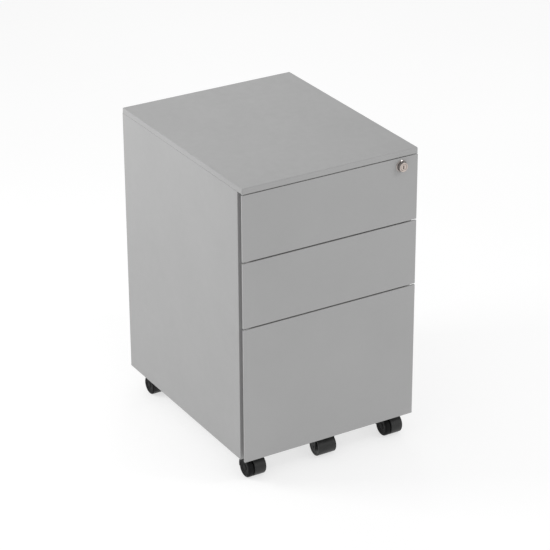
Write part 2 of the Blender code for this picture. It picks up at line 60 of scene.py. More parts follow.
# Slides and trays
STEEL = 0.0012                     # sheet of the slide members
BALLS = 9                          # in each row of a slide
BALL_PITCH = 0.0085
BALL_START = 0.010                 # first ball's distance from the outer member's front end
POST_SCREW = 0.030                 # screws' distance from the ends of the outer members
TRAY_SCREW = 0.050                 # and of the inner ones
TRAY_HEM_R = 0.0017                # rolled upper edge of a tray
PEN_WALL = 0.002

# Lock
BARREL_NECK_R = 0.008
THREAD_PITCH = 0.0010
THREAD_DEEP = 0.0003
PLUG_R = 0.006
KEY_MOUTH = (0.0010, 0.0037)       # half width and half height of the keyway's mouth
KEY_THROAT = (0.0006, 0.0034)      # and of its bottom
KEY_DEEP = 0.0100
ROSETTE_GAP = 0.0005               # from the barrel's wall to the ring round the lock's hole
ROSETTE_WIDE = 0.0020
ROSETTE_HIGH = 0.0018

# Castors
AXLE_BORE_R = 0.0024
HUB_R = 0.0070                     # cap in the middle of a wheel's face
HEAD_R = 0.016                     # round head of the housing
HEAD_LOW = 0.0420                  # height of the head's underside above the floor
HEAD_BORE_R = 0.0053
HEAD_FLOOR = 0.0013
HOOD_IN = 0.0210                   # hood over the wheels, inside and outside radius
HOOD_OUT = 0.0225
HOOD_MID = (HOOD_IN + HOOD_OUT) / 2
HOOD_HALF = 0.01825                # half its width
HOOD_ARC = (-15, 100)              # degrees from the king pin's side, over the top
WEB_HALF = 0.00085                 # half the thickness of the web between the two wheels
SPLIT_HALF = 0.00125               # half the gap between them
BOSS_R = 0.0072                    # web's round end at the axle
GUSSETS = (-0.0115, 0.0125)        # places of the two gussets, across the castor from its king pin
GUSSET_HALF = 0.0008
PLATE = 0.002                      # mounting plate's thickness
PLATE_SCREW = 0.0055               # screws' distance from the plate's edges

# Fold under the top panel's front edge
HEM_HIGH = 0.0014
HEM_DEEP = 0.0040

# Screws and weld marks
SCREW_R = 0.0031
SCREW_HIGH = 0.0011
WELDS = 7                          # down each side
WELD_INSET = 0.0085                # from the panel's outer face
WELD_END = 0.035                   # first and last one's distance from the panel's ends

# Camera: where it looks, from which side, and how far away it stands
AIM = Vector((0, 0.0045, 0.33))
AIM_OFFSET = (-0.0139, 0.0258)     # right and up, in the picture's plane
AZIMUTH = math.radians(-30.607)
ELEVATION = math.radians(25.697)
ROLL = math.radians(-0.262)
DISTANCE = 4.5589
LENS = 152.2
SENSOR = 36.0

# Stage
ROOM_LIGHT = 0.68                  # light that the white room gives
WALL_BRIGHT = 0.98                 # and how bright its wall looks
FLOOR_HALF = 14.0
FLOOR_GLOW = 0.64

ROUND = 64                         # segments round a turned piece
X_AXIS = Vector((1, 0, 0))
Y_AXIS = Vector((0, 1, 0))
Z_AXIS = Vector((0, 0, 1))


# ------------------------------------------------------------------ node materials

def add_node(tree, kind, **inputs):
    """A shader node with the named inputs set."""
    node = tree.nodes.new(kind)
    for name, value in inputs.items():
        node.inputs[name.replace("_", " ")].default_value = value
    return node


def noise(tree, place, scale, detail=2.0, roughness=0.5):
    """Noise over some coordinates, with about scale bumps to each unit of them."""
    node = add_node(tree, "ShaderNodeTexNoise", Scale=scale, Detail=detail, Roughness=roughness)
    tree.links.new(place, node.inputs["Vector"])
    return node.outputs["Fac"]


def spread(tree, value, low, high, start=0.3, end=0.7):
    """Maps a noise from start..end to low..high."""
    node = tree.nodes.new("ShaderNodeMapRange")
    node.inputs["From Min"].default_value = start
    node.inputs["From Max"].default_value = end
    node.inputs["To Min"].default_value = low
    node.inputs["To Max"].default_value = high
    tree.links.new(value, node.inputs["Value"])
    return node.outputs["Result"]


def blend_colours(tree, factor, first, second):
    """A mix of two colours, each a tuple or another node's output."""
    node = tree.nodes.new("ShaderNodeMix")
    node.data_type = "RGBA"
    tree.links.new(factor, node.inputs["Factor"])
    for socket, colour in (("A", first), ("B", second)):
        target = next(s for s in node.inputs if s.name == socket and s.type == "RGBA")
        if isinstance(colour, tuple):
            target.default_value = (*colour, 1)
        else:
            tree.links.new(colour, target)
    return next(s for s in node.outputs if s.type == "RGBA")


def relief(tree, height, distance, strength, under=None):
    """A bumped normal, on top of another one if there is one under it."""
    node = add_node(tree, "ShaderNodeBump", Distance=distance, Strength=strength)
    tree.links.new(height, node.inputs["Height"])
    if under is not None:
        tree.links.new(under, node.inputs["Normal"])
    return node.outputs["Normal"]


def new_material(name, metallic=0.0, specular=0.5):
    """A new material with its node tree, its shader, and the object's own coordinates."""
    material = bpy.data.materials.new(name)
    material.use_nodes = True
    tree = material.node_tree
    shader = tree.nodes["Principled BSDF"]
    shader.inputs["Metallic"].default_value = metallic
    shader.inputs["Specular IOR Level"].default_value = specular
    place = tree.nodes.new("ShaderNodeTexCoord").outputs["Object"]
    return material, tree, shader, place


def connect(tree, shader, colour, rough, normal):
    tree.links.new(colour, shader.inputs["Base Color"])
    tree.links.new(rough, shader.inputs["Roughness"])
    tree.links.new(normal, shader.inputs["Normal"])


def powder_coat():
    """Silver grey fine-textured powder coat, with a slight cloudiness and small rubbed spots."""
    material, tree, shader, place = new_material("powder_coat", specular=0.45)
    cloud = noise(tree, place, 7.0, 4.0, 0.55)
    speck = noise(tree, place, 1900.0, 1.0)
    shade = blend_colours(tree, spread(tree, cloud, 0.0, 1.0),
                          (0.345, 0.345, 0.345), (0.361, 0.361, 0.361))
    tone = blend_colours(tree, spread(tree, speck, 0.0, 0.22, start=0.45, end=0.75),
                         shade, (0.42, 0.42, 0.42))
    rough = spread(tree, noise(tree, place, 60.0, 5.0, 0.65), 0.47, 0.57)
    texture = noise(tree, place, 1300.0, 2.0, 0.6)
    ripple = noise(tree, place, 55.0, 1.0)
    fine = relief(tree, texture, 0.00006, 0.35)
    connect(tree, shader, tone, rough, relief(tree, ripple, 0.0003, 0.06, fine))
    return material


def zinc():
    """Bright zinc plate: crystalline patches and rolling streaks along the sheet."""
    material, tree, shader, place = new_material("zinc", metallic=1.0)
    grain = add_node(tree, "ShaderNodeTexVoronoi", Scale=260.0)
    tree.links.new(place, grain.inputs["Vector"])
    cell = spread(tree, grain.outputs["Distance"], 0.0, 1.0, start=0.0, end=0.9)
    patch = blend_colours(tree, cell, (0.60, 0.61, 0.63), (0.50, 0.51, 0.53))
    stretch = tree.nodes.new("ShaderNodeMapping")
    stretch.inputs["Scale"].default_value = (900.0, 18.0, 900.0)
    tree.links.new(place, stretch.inputs["Vector"])
    streak = noise(tree, stretch.outputs["Vector"], 1.0, 3.0)
    tone = blend_colours(tree, spread(tree, streak, 0.0, 0.35), patch, (0.68, 0.68, 0.69))
    rough = spread(tree, streak, 0.28, 0.44)
    connect(tree, shader, tone, rough, relief(tree, streak, 0.00005, 0.25))
    return material


def chrome():
    """Polished chrome over brass, with faint finger marks and turning lines. Its base colour is kept dark as a
    painted dark reflection.
    """
    material, tree, shader, place = new_material("chrome", metallic=1.0)
    smudge = noise(tree, place, 380.0, 4.0, 0.6)
    # Both tones are kept low as painted dark reflection; the noise between them is the finger marks
    tone = blend_colours(tree, spread(tree, smudge, 0.0, 1.0), (0.42, 0.385, 0.37), (0.33, 0.30, 0.29))
    rough = spread(tree, smudge, 0.07, 0.20)
    fine = noise(tree, place, 4200.0, 2.0)
    connect(tree, shader, tone, rough, relief(tree, fine, 0.00002, 0.12))
    return material


def lock_face():
    """Nickel plate on the key plug and round it: warmer and duller than the barrel's wall."""
    material, tree, shader, place = new_material("lock_face", metallic=1.0)
    wear = noise(tree, place, 520.0, 5.0, 0.65)
    tone = blend_colours(tree, spread(tree, wear, 0.0, 1.0), (0.60, 0.525, 0.485), (0.47, 0.405, 0.37))
    rough = spread(tree, wear, 0.24, 0.42)
    fine = noise(tree, place, 3800.0, 2.0)
    connect(tree, shader, tone, rough, relief(tree, fine, 0.00003, 0.2))
    return material


def steel_balls():
    """Hardened bearing balls with a film of grease."""
    material, tree, shader, place = new_material("bearing_steel", metallic=1.0)
    film = noise(tree, place, 700.0, 3.0)
    tone = blend_colours(tree, spread(tree, film, 0.0, 1.0), (0.62, 0.61, 0.58), (0.46, 0.45, 0.42))
    rough = spread(tree, film, 0.10, 0.26)
    connect(tree, shader, tone, rough, relief(tree, film, 0.00002, 0.1))
    return material


def moulded(name, dark, light, rough, grain_scale, grain_depth, specular=0.5):
    """Moulded plastic: eroded mould grain, small shade changes, scuffs that are a little lighter."""
    material, tree, shader, place = new_material(name, specular=specular)
    shade = blend_colours(tree, spread(tree, noise(tree, place, 70.0, 3.0), 0.0, 1.0), dark, light)
    scuffs = noise(tree, place, 420.0, 6.0, 0.75)
    worn = tuple(channel * 1.9 for channel in light)
    tone = blend_colours(tree, spread(tree, scuffs, 0.0, 0.8, start=0.60, end=0.72), shade, worn)
    sheen = spread(tree, noise(tree, place, 160.0, 4.0, 0.6), *rough)
    grain = noise(tree, place, grain_scale, 2.0, 0.6)
    connect(tree, shader, tone, sheen, relief(tree, grain, grain_depth, 0.45))
    return material


MATERIALS = {
    "powder_coat": powder_coat(),
    "zinc": zinc(),
    "chrome": chrome(),
    # The wheels' tread and face colours are lit and shaded copies of one nylon: the treads' lighter colour is a
    # painted highlight, and the faces' darker one is painted shade
    "black_wheel": moulded("black_wheel", (0.018, 0.0186, 0.0182), (0.025, 0.0256, 0.025), (0.34, 0.48),
                           grain_scale=1500.0, grain_depth=0.00005, specular=0.28),
    "wheel_face_painted_shade": moulded("wheel_face_painted_shade", (0.005, 0.005, 0.0052), (0.008, 0.008, 0.0083), (0.42, 0.56),
                          grain_scale=1500.0, grain_depth=0.00005, specular=0.10),
    "black_housing": moulded("black_housing", (0.006, 0.006, 0.0065), (0.010, 0.010, 0.0105), (0.42, 0.56),
                             grain_scale=1900.0, grain_depth=0.00007, specular=0.28),
    "black_tray": moulded("black_tray", (0.022, 0.022, 0.024), (0.034, 0.034, 0.036), (0.45, 0.62),
                          grain_scale=1400.0, grain_depth=0.00009),
    "bearing_steel": steel_balls(),
    "lock_face": lock_face(),
    # Near-black colour for the keyway's walls and bottom: painted shade inside the slot
    "keyway": moulded("keyway", (0.010, 0.008, 0.007), (0.020, 0.016, 0.013), (0.45, 0.60),
                      grain_scale=2500.0, grain_depth=0.00003),
}
SLOT_OF = {part["node"]: part["material_slot"] for part in frame["record"]["subparts"]}


# ------------------------------------------------------------------ mesh tools

def make_object(name, shape, material, body, crease=35.0):
    """Turns a shape into a smooth-shaded piece that rides on a body, sharp at edges over crease degrees."""
    bmesh.ops.recalc_face_normals(shape, faces=shape.faces)
    mesh = bpy.data.meshes.new(name)
    shape.to_mesh(mesh)
    shape.free()
    mesh.shade_smooth()
    mesh.set_sharp_from_angle(angle=math.radians(crease))
    mesh.materials.append(MATERIALS[material])
    obj = bpy.data.objects.new(name, mesh)
    bpy.context.scene.collection.objects.link(obj)
    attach(obj, body)
    return obj


def paint_faces(obj, material, test):
    """Gives the faces that pass a test on their middle and normal a second material."""
    obj.data.materials.append(MATERIALS[material])
    for face in obj.data.polygons:
        if test(face.center, face.normal):
            face.material_index = 1


def basis(axis):
    """A frame with its Z along the axis."""
    return axis.to_track_quat("Z", "Y").to_matrix().to_4x4()


def circle(radius, count):
    """Points round the origin, from the X axis."""
    return [(radius * math.cos(2 * math.pi * step / count), radius * math.sin(2 * math.pi * step / count))
            for step in range(count)]


def lathe(profile, origin, axis, segments=ROUND):
    """A solid of revolution. The profile holds (radius, distance along the axis) and runs from one
    point on the axis to another, or round a closed loop when it ends where it starts."""
    shape = bmesh.new()
    closed = profile[0] == profile[-1]
    points = profile[:-1] if closed else profile
    rings = []
    for radius, along in points:
        if radius == 0:
            rings.append([shape.verts.new((0, 0, along))])
            continue
        rings.append([shape.verts.new((x, y, along)) for x, y in circle(radius, segments)])
    pairs = list(zip(rings, rings[1:]))
    if closed:
        pairs.append((rings[-1], rings[0]))
    for first, second in pairs:
        for step in range(segments):
            after = (step + 1) % segments
            loop = [first[step % len(first)], first[after % len(first)],
                    second[after % len(second)], second[step % len(second)]]
            shape.faces.new(list(dict.fromkeys(loop)))
    shape.transform(Matrix.Translation(origin) @ basis(axis))
    return shape


def fillet(corner, before, after, radius, steps=5):
    """Points that round a profile's corner between its two neighbours."""
    corner = Vector(corner)
    start = corner + (Vector(before) - corner).normalized() * radius
    end = corner + (Vector(after) - corner).normalized() * radius
    points = []
    for step in range(steps + 1):
        t = step / steps
        point = start * (1 - t) ** 2 + corner * 2 * t * (1 - t) + end * t ** 2
        points.append((point.x, point.y))
    return points


def rounded(points, radii):
    """A profile with each inner corner rounded by the radius of the same place in radii."""
    out = [points[0]]
    for index in range(1, len(points) - 1):
        radius = radii[index - 1]
        if radius:
            out.extend(fillet(points[index], points[index - 1], points[index + 1], radius))
        else:
            out.append(points[index])
    out.append(points[-1])
    return out


def merge(shapes):
    """One bmesh of several."""
    whole = bmesh.new()
    for shape in shapes:
        mesh = bpy.data.meshes.new("part")
        shape.to_mesh(mesh)
        shape.free()
        whole.from_mesh(mesh)
        bpy.data.meshes.remove(mesh)
    return whole


def skin(rings, closed=False):
    """A closed shell over rings of points, all with the same count. Open ends get a flat cap."""
    shape = bmesh.new()
    rows = [[shape.verts.new(point) for point in ring] for ring in rings]
    count = len(rows[0])
    pairs = list(zip(rows, rows[1:]))
    if closed:
        pairs.append((rows[-1], rows[0]))
    for first, second in pairs:
        for index in range(count):
            after = (index + 1) % count
            shape.faces.new((first[index], first[after], second[after], second[index]))
    if not closed:
        shape.faces.new(rows[0])
        shape.faces.new(rows[-1])
    return shape


def round_rectangle(half_x, half_y, radius, steps=4):
    """Points round a rectangle with rounded corners, centred on the origin."""
    points = []
    for corner, (sx, sy) in enumerate(((1, 1), (-1, 1), (-1, -1), (1, -1))):
        for step in range(steps + 1):
            angle = math.pi / 2 * (corner + step / steps)
            points.append((sx * (half_x - radius) + radius * math.cos(angle),
                           sy * (half_y - radius) + radius * math.sin(angle)))
    return points


def edges_between(geometry, verts):
    """The edges in some geometry whose ends are both among the verts."""
    return [item for item in geometry
            if isinstance(item, bmesh.types.BMEdge) and all(vert in verts for vert in item.verts)]


def pierced(outer, hole, depth):
    """A flat face at Z = 0 between an outline and a hole, with the hole sunk to depth below it.
    Gives the shape and the edges of the outline."""
    shape = bmesh.new()
    loops = []
    for outline in (outer, hole):
        verts = [shape.verts.new((x, y, 0)) for x, y in outline]
        loops.append([shape.edges.new((verts[i - 1], verts[i])) for i in range(len(verts))])
    bmesh.ops.triangle_fill(shape, edges=loops[0] + loops[1], use_beauty=True)
    sunk = bmesh.ops.extrude_edge_only(shape, edges=loops[1])["geom"]
    floor = [item for item in sunk if isinstance(item, bmesh.types.BMVert)]
    bmesh.ops.translate(shape, verts=floor, vec=(0, 0, -depth))
    bmesh.ops.triangle_fill(shape, edges=edges_between(sunk, floor), use_beauty=True)
    return shape, loops[0]


def skirt(shape, edges, steps):
    """Runs a round outline down through steps of (radius, depth), and closes it at the last one."""
    for radius, depth in steps:
        moved = bmesh.ops.extrude_edge_only(shape, edges=edges)["geom"]
        verts = [item for item in moved if isinstance(item, bmesh.types.BMVert)]
        for vert in verts:
            flat = Vector((vert.co.x, vert.co.y)).normalized() * radius
            vert.co = (flat.x, flat.y, -depth)
        edges = edges_between(moved, verts)
    bmesh.ops.triangle_fill(shape, edges=edges, use_beauty=True)


def block(low, high, radius, segments=2):
    """A moulded or pressed block with rounded edges."""
    low = Vector(low)
    high = Vector(high)
    shape = bmesh.new()
    bmesh.ops.create_cube(shape, size=1.0)
    shape.transform(Matrix.Translation((low + high) / 2) @ Matrix.Diagonal((*(high - low), 1)))
    bmesh.ops.bevel(shape, geom=shape.edges[:], offset=radius, segments=segments, profile=0.5,
                    affect="EDGES")
    return shape


# ------------------------------------------------------------------ carried-over nodes

EDGE_RADIUS = {
    "powder_coat": 0.0004,
    "zinc": 0.00025,
    "black_housing": 0.0005,
    "black_wheel": 0.0004,
    "black_tray": 0.0004,
    "chrome": 0.0002,
}


def finish_nodes():
    """Materials and rounded edges for the CAD's nodes. The roller's axle is blackened, unlike the
    other zinc plated pieces."""
    for name, obj in NODES.items():
        slot = SLOT_OF[name]
        look = "black_housing" if name == "roller_axle" else slot
        obj.data.materials.clear()
        obj.data.materials.append(MATERIALS[look])
        weld = obj.modifiers.new("weld", "WELD")
        weld.merge_threshold = 0.00002
        edge = obj.modifiers.new("edges", "BEVEL")
        edge.width = EDGE_RADIUS[slot]
        edge.segments = 2
        edge.limit_method = "ANGLE"
        edge.angle_limit = math.radians(40)
        edge.use_clamp_overlap = True
        edge.harden_normals = True


# ------------------------------------------------------------------ castors and roller

def wheel(name, node, body, outward):
    """A wheel with a rounded tread, a dished face with a raised rim and a domed hub cap. The narrow
    wheels and the faces of the wide ones are duller and are painted darker than the treads as shade."""
    low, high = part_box(node)
    width = high.x - low.x
    radius = (high.z - low.z) / 2
    cap = [(0, width - 0.0004), (HUB_R - 0.0012, width - 0.0006), (HUB_R, width - 0.0016)]
    face = [(HUB_R + 0.0008, width - 0.0016), (HUB_R + 0.0016, width - 0.0010),
            (radius * 0.70, width - 0.0006), (radius * 0.74, width), (radius * 0.88, width - 0.0003)]
    tread = [(radius, width - 0.0020), (radius, 0.0006), (radius - 0.0012, 0)]
    inside = [(HUB_R + 0.003, 0), (HUB_R + 0.002, 0.0016), (AXLE_BORE_R, 0.0016)]
    bore = [(AXLE_BORE_R, width - 0.0035), (0, width - 0.0035)]
    profile = rounded(
        cap + face + tread + inside + bore,
        [0.0004, 0.0003, 0.0003, 0.0003, 0.0002, 0.0003, 0.0008, 0.0014, 0.0005, 0.0003, 0.0003, 0, 0, 0])
    inner_x = low.x if outward > 0 else high.x
    origin = Vector((inner_x, (low.y + high.y) / 2, (low.z + high.z) / 2))
    obj = make_object(name, lathe(profile, origin, X_AXIS * outward), "black_wheel", body)
    narrow = node.endswith("narrow")
    # The narrow wheels and the wide ones' outer faces take the darker copy: painted shade
    paint_faces(obj, "wheel_face_painted_shade", lambda middle, normal: narrow or normal.x * outward > 0.4)
    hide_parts(node)


def roller():
    """The tyre under the filing drawer: a plain cylinder with a groove in each end."""
    low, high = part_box("roller_wheel")
    half = (high.x - low.x) / 2
    radius = (high.z - low.z) / 2
    groove = half - 0.0009
    start = (AXLE_BORE_R, half)
    end = [start, (0.0060, half), (0.0066, groove), (radius * 0.78, groove), (radius * 0.82, half)]
    profile = rounded(
        end + [(radius, half - 0.0002), (radius, -half)] + [(r, -x) for r, x in reversed(end)] + [start],
        [0.0003, 0.0003, 0.0003, 0.0003, 0.0006, 0.0006, 0.0003, 0.0003, 0.0003, 0.0003, 0])
    shape = lathe(profile, (low + high) / 2, X_AXIS)
    obj = make_object("anti_tilt_roller_tyre", shape, "black_wheel", "anti_tilt_roller")
    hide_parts("roller_wheel")


def castor_wheels():
    """Both wheels of each castor. The rear castors are the front ones turned half round."""
    for castor in CASTORS:
        for word in ("narrow", "wide"):
            node = f"{castor}_wheel_{word}"
            outward = (1 if word == "wide" else -1) * (1 if "front" in castor else -1)
            wheel(f"{castor}_{word}_moulding", node, f"{castor}_{word}", outward)


def hood(pivot, axle, ahead):
    """The arched hood over both wheels."""
    section = round_rectangle(HOOD_HALF, (HOOD_OUT - HOOD_IN) / 2, 0.0006, 3)
    steps = 30
    rings = []
    for step in range(steps + 1):
        angle = math.radians(HOOD_ARC[0] + (HOOD_ARC[1] - HOOD_ARC[0]) * step / steps)
        rings.append([(pivot.x + x, axle.y + ahead * (HOOD_MID + r) * math.cos(angle),
                       axle.z + (HOOD_MID + r) * math.sin(angle)) for x, r in section])
    return skin(rings)


def web(castor, pivot, axle, ahead):
    """The wall between the wheels: a round end at the axle, widening up into the head."""
    gap_low, gap_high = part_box(f"{castor}_wheel_narrow")
    inner = gap_high.x if ahead > 0 else gap_low.x
    middle = inner + ahead * SPLIT_HALF
    steps = 12
    outline = []
    for step in range(steps + 1):
        angle = math.pi * (1 + step / steps)
        outline.append((axle.y + BOSS_R * math.cos(angle), axle.z + BOSS_R * math.sin(angle)))
    top = HEAD_LOW + 0.0005
    shoulders = [(pivot.y + ahead * 0.001, top), (axle.y - ahead * 0.004, top)]
    outline += shoulders if ahead > 0 else reversed(shoulders)
    return skin([[(x, y, z) for y, z in outline] for x in (middle - WEB_HALF, middle + WEB_HALF)])


def gusset(pivot, offset, ahead):
    """A short rib under the head."""
    x = pivot.x + offset
    near, far = sorted((pivot.y + ahead * 0.004, pivot.y - ahead * 0.0085))
    return block((x - GUSSET_HALF, near, HEAD_LOW - 0.0030),
                 (x + GUSSET_HALF, far, HEAD_LOW + 0.0010), 0.0004)


def housing(castor):
    """Hood, round head, web between the wheels and two gussets, moulded in one."""
    pivot = Vector(JOINTS[f"{castor}_swivel_turn"]["pos_m"])
    axle = Vector(JOINTS[f"{castor}_wide_spin"]["pos_m"])
    _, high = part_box(f"{castor}_housing")
    ahead = 1 if pivot.y > axle.y else -1
    tall = high.z - HEAD_LOW
    profile = rounded(
        [(0, 0), (HEAD_R, 0), (HEAD_R, tall),
         (HEAD_BORE_R, tall), (HEAD_BORE_R, HEAD_FLOOR), (0, HEAD_FLOOR)],
        [0.0006, 0.0008, 0.0003, 0.0002])
    head = lathe(profile, Vector((pivot.x, pivot.y, HEAD_LOW)), Z_AXIS)
    gussets = [gusset(pivot, offset, ahead) for offset in GUSSETS]
    shape = merge([hood(pivot, axle, ahead), head, web(castor, pivot, axle, ahead), *gussets])
    obj = make_object(f"{castor}_housing_moulding", shape, "black_housing",
                      f"{castor}_swivel")
    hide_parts(f"{castor}_housing")


# ------------------------------------------------------------------ lock

def lock_front():
    """The middle of the barrel's front face, and the barrel's radius there."""
    low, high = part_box("lock_barrel")
    return Vector(((low.x + high.x) / 2, low.y, (low.z + high.z) / 2)), (high.x - low.x) / 2


def lock_barrel():
    """A turned barrel: a rounded front flange, and a threaded neck through the front rail."""
    centre, radius = lock_front()
    _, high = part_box("lock_barrel")
    rail_low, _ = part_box("front_top_rail")
    depth = high.y - centre.y
    flange = rail_low.y - centre.y
    bore = PLUG_R + 0.0002
    root = BARREL_NECK_R - THREAD_DEEP
    neck = []
    for turn in range(int((depth - flange) / THREAD_PITCH)):
        at = flange + THREAD_PITCH * turn
        neck += [(root, at + THREAD_PITCH * 0.1), (BARREL_NECK_R, at + THREAD_PITCH * 0.4),
                 (BARREL_NECK_R, at + THREAD_PITCH * 0.6), (root, at + THREAD_PITCH * 0.9)]
    face = [(bore, 0.0009), (bore + 0.0003, 0.0004), (bore + 0.0012, 0.0001), (bore + 0.0016, 0)]
    rim = fillet((radius, 0), (0, 0), (radius, 1), 0.0009)
    profile = face + rim + [(radius, flange)] + neck + [(root, depth), (bore, depth), face[0]]
    obj = make_object("lock_barrel_turned", lathe(profile, centre, Y_AXIS), "chrome", "cabinet")
    paint_faces(obj, "lock_face", lambda middle, normal: normal.y < -0.75 and middle.y < centre.y + 0.001)
    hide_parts("lock_barrel")


def lock_plug():
    """The plug that the key turns, with a keyway that narrows inwards."""
    centre, _ = lock_front()
    low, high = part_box("lock_plug")
    shape, edges = pierced(circle(PLUG_R, ROUND), round_rectangle(*KEY_MOUTH, 0.0006), KEY_DEEP)
    for vert in shape.verts:
        if vert.co.z < -KEY_DEEP / 2:
            vert.co.x *= KEY_THROAT[0] / KEY_MOUTH[0]
            vert.co.y *= KEY_THROAT[1] / KEY_MOUTH[1]
    skirt(shape, edges, [(PLUG_R, 0.0004), (PLUG_R - 0.0002, 0.0006), (PLUG_R - 0.0002, high.y - low.y)])
    shape.transform(Matrix.Translation((centre.x, low.y, centre.z))
                    @ Matrix.Rotation(math.radians(90), 4, "X"))
    obj = make_object("lock_plug_keyed", shape, "lock_face", "plug")

    def in_keyway_painted_shade(middle, normal):
        from_axis = (middle - Vector((centre.x, middle.y, centre.z))).length
        behind = middle.y - low.y
        return 0.0001 < behind < KEY_DEEP + 0.001 and from_axis < KEY_MOUTH[1] + 0.0002

    # The keyway's walls and bottom take the near-black colour: painted shade
    paint_faces(obj, "keyway", in_keyway_painted_shade)
    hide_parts("lock_plug")


def rosette():
    """A chromed and chamfered ring round the lock's hole in the top drawer's front."""
    centre, radius = lock_front()
    front_low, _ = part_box("top_drawer_front")
    centre.y = front_low.y
    inner = radius + ROSETTE_GAP
    outer = inner + ROSETTE_WIDE
    rim = 0.0002
    profile = [(inner, rim), (inner, -ROSETTE_HIGH), (inner + rim, -ROSETTE_HIGH),
               (outer, -rim), (outer, rim), (inner, rim)]
    make_object("lock_rosette", lathe(profile, centre, Y_AXIS), "chrome", "top_drawer")


# ------------------------------------------------------------------ fixings and slides

def screw_head(place, axis):
    """A pan head with a cross recess, standing on place and pointing along axis."""
    arm = SCREW_R * 0.52
    slim = SCREW_R * 0.15
    cross = [(arm, slim), (slim, slim), (slim, arm), (-slim, arm), (-slim, slim), (-arm, slim),
             (-arm, -slim), (-slim, -slim), (-slim, -arm), (slim, -arm), (slim, -slim), (arm, -slim)]
    shape, edges = pierced(circle(SCREW_R * 0.7, 24), cross, SCREW_HIGH * 0.7)
    skirt(shape, edges, [(SCREW_R * 0.88, SCREW_HIGH * 0.12), (SCREW_R, SCREW_HIGH * 0.45),
                         (SCREW_R, SCREW_HIGH)])
    shape.transform(Matrix.Translation(Vector(place) + axis * SCREW_HIGH) @ basis(axis))
    return shape


def slide_fixings():
    """Screws that hold the outer slide members to the posts and the inner ones to the trays."""
    fixed = []
    for drawer in DRAWERS:
        moving = []
        for word, side in SIDES:
            low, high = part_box(f"{drawer}_slide_outer_{word}")
            z = (low.z + high.z) / 2
            outer_face = (high.x if side > 0 else low.x) - side * STEEL
            for y in (low.y + POST_SCREW, high.y - POST_SCREW):
                fixed.append(screw_head((outer_face, y, z), -side * X_AXIS))
            low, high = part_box(f"{drawer}_slide_inner_{word}")
            inner_face = (low.x if side > 0 else high.x) + side * STEEL
            for y in (low.y + TRAY_SCREW, (low.y + high.y) / 2, high.y - TRAY_SCREW):
                moving.append(screw_head((inner_face, y, z), side * X_AXIS))
        make_object(f"{drawer}_slide_screws", merge(moving), "zinc", drawer)
    make_object("cabinet_slide_screws", merge(fixed), "zinc", "cabinet")


def ball_row(outer, inner, side):
    """Balls and their cages between the lips of two slide members, near the outer one's front end."""
    outer_low, outer_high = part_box(outer)
    inner_low, inner_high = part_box(inner)
    near = max(outer_low.x, inner_low.x) if side > 0 else outer_low.x
    far = outer_high.x if side > 0 else min(outer_high.x, inner_high.x)
    start = outer_low.y + BALL_START
    end = start + (BALLS - 1) * BALL_PITCH
    pieces = []
    for upper in (1, -1):
        outer_z = (outer_high.z if upper > 0 else outer_low.z) - upper * STEEL
        inner_z = inner_high.z if upper > 0 else inner_low.z
        z = (outer_z + inner_z) / 2
        radius = abs(outer_z - inner_z) / 2 * 0.94
        x = side * (min(side * near, side * far) + radius + 0.0006)
        for index in range(BALLS):
            ball = bmesh.new()
            bmesh.ops.create_uvsphere(ball, u_segments=16, v_segments=10, radius=radius)
            ball.transform(Matrix.Translation((x, start + index * BALL_PITCH, z)))
            pieces.append(ball)
        tall = radius * 0.55
        pieces.append(block((x - 0.0004, start - 0.004, z - tall),
                            (x + 0.0004, end + 0.004, z + tall), 0.0002))
    return pieces


def slide_balls():
    """Each slide's balls ride on its outer member, and those inside a middle member ride on that."""
    fixed = []
    middles = []
    for drawer in DRAWERS:
        for word, side in SIDES:
            outer = f"{drawer}_slide_outer_{word}"
            inner = f"{drawer}_slide_inner_{word}"
            between = f"{drawer}_slide_middle_{word}"
            if between in NODES:
                fixed += ball_row(outer, between, side)
                middles += ball_row(between, inner, side)
            else:
                fixed += ball_row(outer, inner, side)
    make_object("slide_balls_cabinet", merge(fixed), "bearing_steel", "cabinet")
    make_object("slide_balls_middles", merge(middles), "bearing_steel", "filing_slide_middles")


def castor_screws():
    """Four screws through the corners of each castor's mounting plate, with their heads below it."""
    heads = []
    for castor in CASTORS:
        low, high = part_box(f"{castor}_plate")
        pivot = JOINTS[f"{castor}_swivel_turn"]["pos_m"]
        reach = (high.x - low.x) / 2 - PLATE_SCREW
        under = high.z - PLATE
        for sx in (-1, 1):
            for sy in (-1, 1):
                heads.append(screw_head((pivot[0] + sx * reach, pivot[1] + sy * reach, under), -Z_AXIS))
    make_object("castor_plate_screws", merge(heads), "zinc", "cabinet")


def spot_welds():
    """Low round weld marks down the rear flanges of the side panels, under the paint."""
    profile = [(0, 0.00022), (0.0013, 0.00022), (0.0021, 0.00034), (0.0028, 0.00016), (0.0032, 0.0),
               (0.0032, -0.0003), (0, -0.0003)]
    marks = []
    for word, side in SIDES:
        low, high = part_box(f"{word}_side_panel")
        x = side * (abs(low.x if side < 0 else high.x) - WELD_INSET)
        span = high.z - low.z - 2 * WELD_END
        for index in range(WELDS):
            z = low.z + WELD_END + span * index / (WELDS - 1)
            marks.append(lathe(profile, Vector((x, high.y, z)), Y_AXIS, 24))
    make_object("rear_weld_marks", merge(marks), "powder_coat", "cabinet")


def top_hem():
    """The top panel's front edge, folded under: it half closes the gap over the top drawer."""
    low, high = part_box("top_panel")
    shape = block((low.x + 0.0004, low.y + 0.0003, low.z - HEM_HIGH),
                  (high.x - 0.0004, low.y + HEM_DEEP, low.z + 0.0004), 0.0004)
    make_object("top_panel_front_hem", shape, "powder_coat", "cabinet")


# ------------------------------------------------------------------ trays

